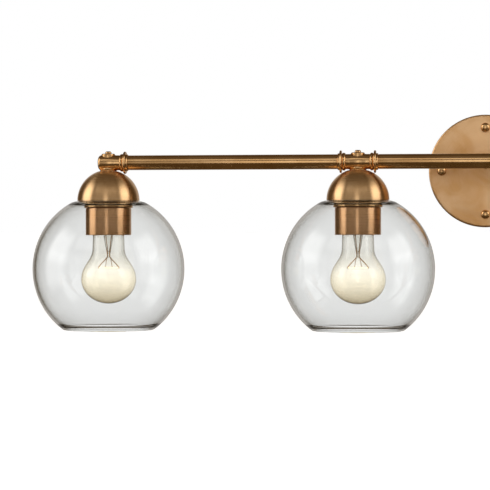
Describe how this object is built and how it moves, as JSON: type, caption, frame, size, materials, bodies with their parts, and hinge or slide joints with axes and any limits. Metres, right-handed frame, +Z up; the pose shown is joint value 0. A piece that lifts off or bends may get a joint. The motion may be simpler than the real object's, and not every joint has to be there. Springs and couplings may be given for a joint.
{
  "type": "vanity light bar",
  "caption": "Wall light bar: a round canopy holds a straight tube on a short arm, with clear open-bottomed glass globes under domed caps, each round a screw-in bulb.",
  "frame": {"origin": "middle of the canopy's back, on the wall plane", "axes": "+X along the bar, to the right of someone facing the wall; +Y into the wall; +Z up"},
  "size_m": [0.9778, 0.1924, 0.2348],
  "materials": {
    "satin_brass": "satin antique brass, fine brushing round each turned piece",
    "dome_brass": "satin antique brass, spun, with streaks running from top to bottom",
    "canopy_brass": "satin antique brass, brushed in circles, with soft fans of light",
    "zinc_steel": "zinc plated",
    "clear_glass": "clear blown glass, polished rim",
    "bulb_glass": "clear thin glass",
    "bulb_stem_glass": "clear glass stem with wires and a glowing filament",
    "bulb_cap": "rolled thread, bright",
    "bulb_insulator": "black glass with a solder tip",
    "porcelain": "white glaze",
    "socket_brass": "rolled thread, bright",
    "lead_insulation": "matt insulation"
  },
  "bodies": {
    "light": {"canopy": "canopy_brass", "mounting_bracket": "zinc_steel", "arm": "satin_brass", "arm_locknut": "zinc_steel", "knob_top": "satin_brass", "knob_right": "satin_brass", "knob_bottom": "satin_brass", "knob_left": "satin_brass", "bar_left": "satin_brass", "bar_middle": "satin_brass", "bar_right": "satin_brass", "wiring_loom": "lead_insulation", "elbow_1": "satin_brass", "through_bolt_1": "satin_brass", "dome_1": "dome_brass", "globe_1": "clear_glass", "shade_ring_1": "satin_brass", "socket_cup_1": "dome_brass", "socket_body_1": "porcelain", "screw_shell_1": "socket_brass", "tee_2": "satin_brass", "through_bolt_2": "satin_brass", "dome_2": "dome_brass", "globe_2": "clear_glass", "shade_ring_2": "satin_brass", "socket_cup_2": "dome_brass", "socket_body_2": "porcelain", "screw_shell_2": "socket_brass", "tee_3": "satin_brass", "through_bolt_3": "satin_brass", "dome_3": "dome_brass", "globe_3": "clear_glass", "shade_ring_3": "satin_brass", "socket_cup_3": "dome_brass", "socket_body_3": "porcelain", "screw_shell_3": "socket_brass", "elbow_4": "satin_brass", "through_bolt_4": "satin_brass", "dome_4": "dome_brass", "globe_4": "clear_glass", "shade_ring_4": "satin_brass", "socket_cup_4": "dome_brass", "socket_body_4": "porcelain", "screw_shell_4": "socket_brass"},
    "bulb_1_carriage": {"bulb_contact_1": "bulb_insulator"},
    "bulb_1": {"bulb_glass_1": "bulb_glass", "bulb_base_1": "bulb_cap", "bulb_stem_1": "bulb_stem_glass"},
    "bulb_2_carriage": {"bulb_contact_2": "bulb_insulator"},
    "bulb_2": {"bulb_glass_2": "bulb_glass", "bulb_base_2": "bulb_cap", "bulb_stem_2": "bulb_stem_glass"},
    "bulb_3_carriage": {"bulb_contact_3": "bulb_insulator"},
    "bulb_3": {"bulb_glass_3": "bulb_glass", "bulb_base_3": "bulb_cap", "bulb_stem_3": "bulb_stem_glass"},
    "bulb_4_carriage": {"bulb_contact_4": "bulb_insulator"},
    "bulb_4": {"bulb_glass_4": "bulb_glass", "bulb_base_4": "bulb_cap", "bulb_stem_4": "bulb_stem_glass"}
  },
  "joints": [
    {"name": "bulb_1_travel", "type": "slide", "parent": "light", "child": "bulb_1_carriage", "axis": [0, 0, -1], "range_m": [0, 0.01815]},
    {"name": "bulb_1_turn", "type": "hinge", "parent": "bulb_1_carriage", "child": "bulb_1", "pos_m": [-0.4065, -0.11, -0.0343], "axis": [0, 0, -1], "range_deg": [0, 1800]},
    {"name": "bulb_2_travel", "type": "slide", "parent": "light", "child": "bulb_2_carriage", "axis": [0, 0, -1], "range_m": [0, 0.01815]},
    {"name": "bulb_2_turn", "type": "hinge", "parent": "bulb_2_carriage", "child": "bulb_2", "pos_m": [-0.1355, -0.11, -0.0343], "axis": [0, 0, -1], "range_deg": [0, 1800]},
    {"name": "bulb_3_travel", "type": "slide", "parent": "light", "child": "bulb_3_carriage", "axis": [0, 0, -1], "range_m": [0, 0.01815]},
    {"name": "bulb_3_turn", "type": "hinge", "parent": "bulb_3_carriage", "child": "bulb_3", "pos_m": [0.1355, -0.11, -0.0343], "axis": [0, 0, -1], "range_deg": [0, 1800]},
    {"name": "bulb_4_travel", "type": "slide", "parent": "light", "child": "bulb_4_carriage", "axis": [0, 0, -1], "range_m": [0, 0.01815]},
    {"name": "bulb_4_turn", "type": "hinge", "parent": "bulb_4_carriage", "child": "bulb_4", "pos_m": [0.4065, -0.11, -0.0343], "axis": [0, 0, -1], "range_deg": [0, 1800]}
  ],
  "couplings": [
    {"joint": "bulb_1_travel", "follows": "bulb_1_turn", "m_per_rad": 0.00057757},
    {"joint": "bulb_2_travel", "follows": "bulb_2_turn", "m_per_rad": 0.00057757},
    {"joint": "bulb_3_travel", "follows": "bulb_3_turn", "m_per_rad": 0.00057757},
    {"joint": "bulb_4_travel", "follows": "bulb_4_turn", "m_per_rad": 0.00057757}
  ]
}
